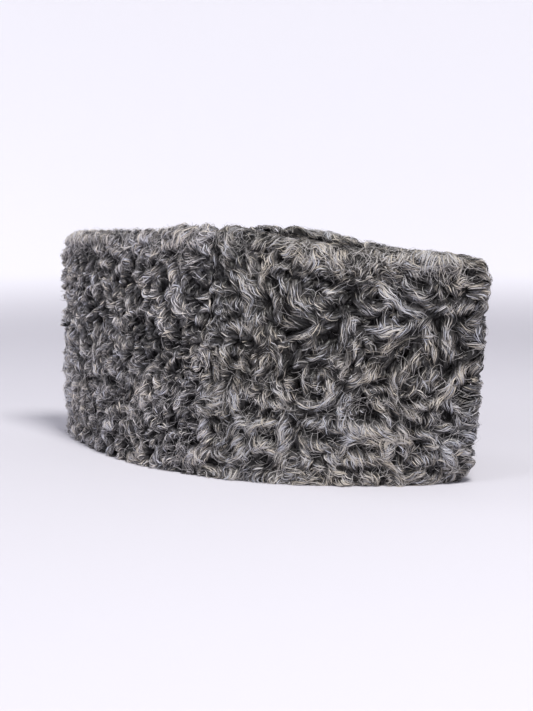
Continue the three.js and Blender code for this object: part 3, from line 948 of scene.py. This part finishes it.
def crown_shell(name):
    rows, columns = 80, 25
    at = np.sin(np.pi / 2 * np.linspace(-0.985, 0.985, rows))[None, :]
    side = np.linspace(-1, 1, columns)[:, None]
    upper = crown_sheet(at + 0 * side, side + 0 * at)
    return closed_sheet(name, upper, upper - np.array([0, 0, CROWN_THICKNESS]))


# Materials

def new_material(name):
    material = bpy.data.materials.new(name)
    material.use_nodes = True
    return material, material.node_tree.nodes["Principled BSDF"]


def feed(material, node, inputs):
    """Gives each of these inputs of a node its value, or links the output that is given for it."""
    for name, value in inputs.items():
        if isinstance(value, bpy.types.NodeSocket):
            material.node_tree.links.new(value, node.inputs[name])
        else:
            node.inputs[name].default_value = value


def new_node(material, kind, inputs, **settings):
    node = material.node_tree.nodes.new("ShaderNode" + kind)
    for name, value in settings.items():
        setattr(node, name, value)
    feed(material, node, inputs)
    return node


def place_output(material):
    """Places that stay with the piece."""
    return new_node(material, "TexCoord", {}).outputs["Object"]


def noise_output(material, scale, detail):
    inputs = {"Vector": place_output(material), "Scale": scale, "Detail": detail}
    return new_node(material, "TexNoise", inputs).outputs["Fac"]


def number_output(material, name):
    """The number that each point of the mesh has under a name."""
    return new_node(material, "Attribute", {}, attribute_name=name).outputs["Fac"]


def ramp_output(material, source, stops):
    """Colours for the numbers of a source, by stops of a number and a colour each."""
    ramp = new_node(material, "ValToRGB", {"Fac": source})
    elements = ramp.color_ramp.elements
    elements[0].position, elements[1].position = stops[0][0], stops[-1][0]
    for position, _ in stops[1:-1]:
        elements.new(position)
    for element, (_, colour) in zip(elements, stops):
        element.color = (*colour, 1)
    return ramp.outputs["Color"]


def fur_material(name):
    """Hairs whose tone runs from near black, mostly painted shade deep between the waves, through charcoal to
    silver, and their tint from cool to warm.
    """
    material, shader = new_material(name)
    tone = {0: noise_output(material, 900, 2), 1: 0.3, 2: number_output(material, "tone")}
    uneven = new_node(material, "Math", tone, operation="MULTIPLY_ADD").outputs[0]
    level = new_node(material, "Math", {0: uneven, 1: 0.15}, operation="SUBTRACT").outputs[0]
    tint = {"Value": number_output(material, "tint"), "From Min": -1.2, "From Max": 1.2}
    span = new_node(material, "MapRange", tint).outputs[0]
    colour = ramp_output(material, level, list(zip(TONE_STOPS, FUR_COLOURS[name])))
    hue = ramp_output(material, span, ((0, COOLEST), (1, WARMEST)))
    both = {"Factor": 1, 6: colour, 7: hue}
    tinted = new_node(material, "Mix", both, data_type="RGBA", blend_type="MULTIPLY").outputs[2]
    feed(material, shader, {"Base Color": tinted, "Roughness": 0.42, "Specular IOR Level": 0.33})
    return material


def hide_material(name, colour, scale, bump):
    """Uneven leather, darker in its hollows. On the fur side its near-black colour is painted shade between
    the locks.
    """
    material, shader = new_material(name)
    noise = noise_output(material, scale, 6)
    stops = (0.3, [c * 0.7 for c in colour]), (0.7, [c * 1.25 for c in colour])
    relief = {"Strength": bump, "Distance": 0.6 * MM, "Height": noise}
    feed(material, shader, {
        "Base Color": ramp_output(material, noise, stops),
        "Normal": new_node(material, "Bump", relief).outputs[0],
        "Roughness": 0.9,
        "Specular IOR Level": 0.2,
    })
    return material


# Stage, camera and light

def sweep_material():
    """Pale, and above the floor it glows as if lit by lamps of its own."""
    material, shader = new_material("sweep")
    height = new_node(material, "SeparateXYZ", {0: place_output(material)}).outputs["Z"]
    glow = {"Value": height, "From Max": 0.06, "To Max": WALL_GLOW}
    feed(material, shader, {
        "Base Color": (0.55, 0.54, 0.59, 1),
        "Roughness": 0.85,
        "Specular IOR Level": 0.2,
        "Emission Color": (0.95, 0.94, 1.0, 1),
        "Emission Strength": new_node(material, "MapRange", glow, interpolation_type="SMOOTHSTEP").outputs[0],
    })
    return material


def stage_sweep():
    """A seamless pale floor that curves up into a low wall all round the cap."""
    flat, bend, around = 0.62, 1.1, 96
    rings = [(0.05, 0.0), (flat / 2, 0.0)]
    rings += [(flat + bend * math.sin(a), bend * (1 - math.cos(a))) for a in np.linspace(0, math.pi / 2, 24)]
    turns = [2 * math.pi * k / around for k in range(around)]
    points = [(0.0, 0.0, 0.0)]
    points += [(r * math.cos(turn), r * math.sin(turn), z) for r, z in rings for turn in turns]
    faces = [(0, 1 + k, 1 + (k + 1) % around) for k in range(around)]
    for ring in range(len(rings) - 1):
        here, there = 1 + ring * around, 1 + (ring + 1) * around
        for k in range(around):
            beside = (k + 1) % around
            faces.append((here + k, there + k, there + beside, here + beside))
    mesh = bpy.data.meshes.new("sweep")
    mesh.from_pydata(points, [], faces)
    mesh.polygons.foreach_set("use_smooth", np.full(len(faces), True))
    mesh.materials.append(sweep_material())
    sweep = bpy.data.objects.new("sweep", mesh)
    bpy.context.collection.objects.link(sweep)


def make_camera():
    turn = math.radians(CAMERA_AZIMUTH)
    pitch = math.radians(CAMERA_PITCH)
    plan = Vector((-math.sin(turn), math.cos(turn), 0)) * math.cos(pitch)
    ahead = plan - Vector((0, 0, math.sin(pitch)))
    right = Vector((math.cos(turn), math.sin(turn), 0))
    aim = Vector((0, 0, CAMERA_AIM)) - right * CAP_ASIDE
    camera = bpy.data.objects.new("camera", bpy.data.cameras.new("camera"))
    turned = Matrix((right, right.cross(ahead), -ahead)).transposed().to_4x4()
    camera.matrix_world = Matrix.Translation(aim - ahead * CAMERA_DISTANCE) @ turned
    camera.data.lens = CAMERA_LENS
    camera.data.sensor_width = 36
    camera.data.clip_start = 0.01
    bpy.context.collection.objects.link(camera)
    bpy.context.scene.camera = camera


def area_light(name, aside, elevation, distance, size, power, colour):
    turn, rise = math.radians(CAMERA_AZIMUTH + aside), math.radians(elevation)
    plan = Vector((math.sin(turn), -math.cos(turn), 0)) * math.cos(rise)
    place = (plan + Vector((0, 0, math.sin(rise)))) * distance
    light = bpy.data.lights.new(name, "AREA")
    light.shape = "DISK"
    light.size, light.energy, light.color = size, power, colour
    lamp = bpy.data.objects.new(name, light)
    lamp.location = place
    lamp.rotation_euler = (-place).to_track_quat("-Z", "Y").to_euler()
    bpy.context.collection.objects.link(lamp)


def light_the_scene():
    world = bpy.data.worlds.new("studio")
    bpy.context.scene.world = world
    world.use_nodes = True
    background = world.node_tree.nodes["Background"]
    background.inputs["Color"].default_value = (0.93, 0.93, 1.0, 1)
    background.inputs["Strength"].default_value = 0.26
    for lamp in LAMPS:
        area_light(*lamp)
    bpy.context.scene.view_settings.view_transform = "Standard"


# Everything together

def dress(piece, node, slot, *materials):
    for material in materials:
        piece.data.materials.append(material)
    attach(piece, "root")
    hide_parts(node)


def dress_side(name, kind, side, seed, material):
    """The fur of one side of a pelt, in two pieces on the right, which the photograph shows."""
    fur = pelt_fur(kind, side, seed)
    count, steps, width, loose = kind.right_hairs if side < 0 else kind.left_hairs
    parts = {"all": fur}
    if side < 0:
        upper = fur.locks["height"] > HALF_WAY
        parts = {"upper": fur.part(upper), "lower": fur.part(~upper)}
    for part_name, part in parts.items():
        layers = [part.cores(), part.hairs(count, steps, width * MM), part.fuzz(loose, LOOSE_WIDTH * MM)]
        piece = mesh_object(f"{name}_fur_{'right' if side < 0 else 'left'}_{part_name}", *joined(layers))
        dress(piece, f"{name}_pelt", f"{name}_fur", material)


def main():
    stage_sweep()
    make_camera()
    light_the_scene()
    shade_and_suede = hide_material(*FUR_SIDE_SHADE), hide_material(*SUEDE)
    for name, kind in (("front", FRONT_FUR), ("back", BACK_FUR)):
        dress(hide_shell(f"{name}_hide", kind.is_front), f"{name}_pelt", f"{name}_fur", *shade_and_suede)
        material = fur_material(f"{name}_fur")
        for side, seed in zip((-1, 1), kind.seeds):
            dress_side(name, kind, side, seed, material)
    dress(crown_shell("crown_hide"), "crown", "crown_fur", *shade_and_suede)
    fur = crown_fur(CROWN_SEED)
    count, steps, width = CROWN_HAIRS
    locks = mesh_object("crown_locks", *joined([fur.cores(), fur.hairs(count, steps, width * MM)]))
    dress(locks, "crown", "crown_fur", fur_material("crown_fur"))


main()
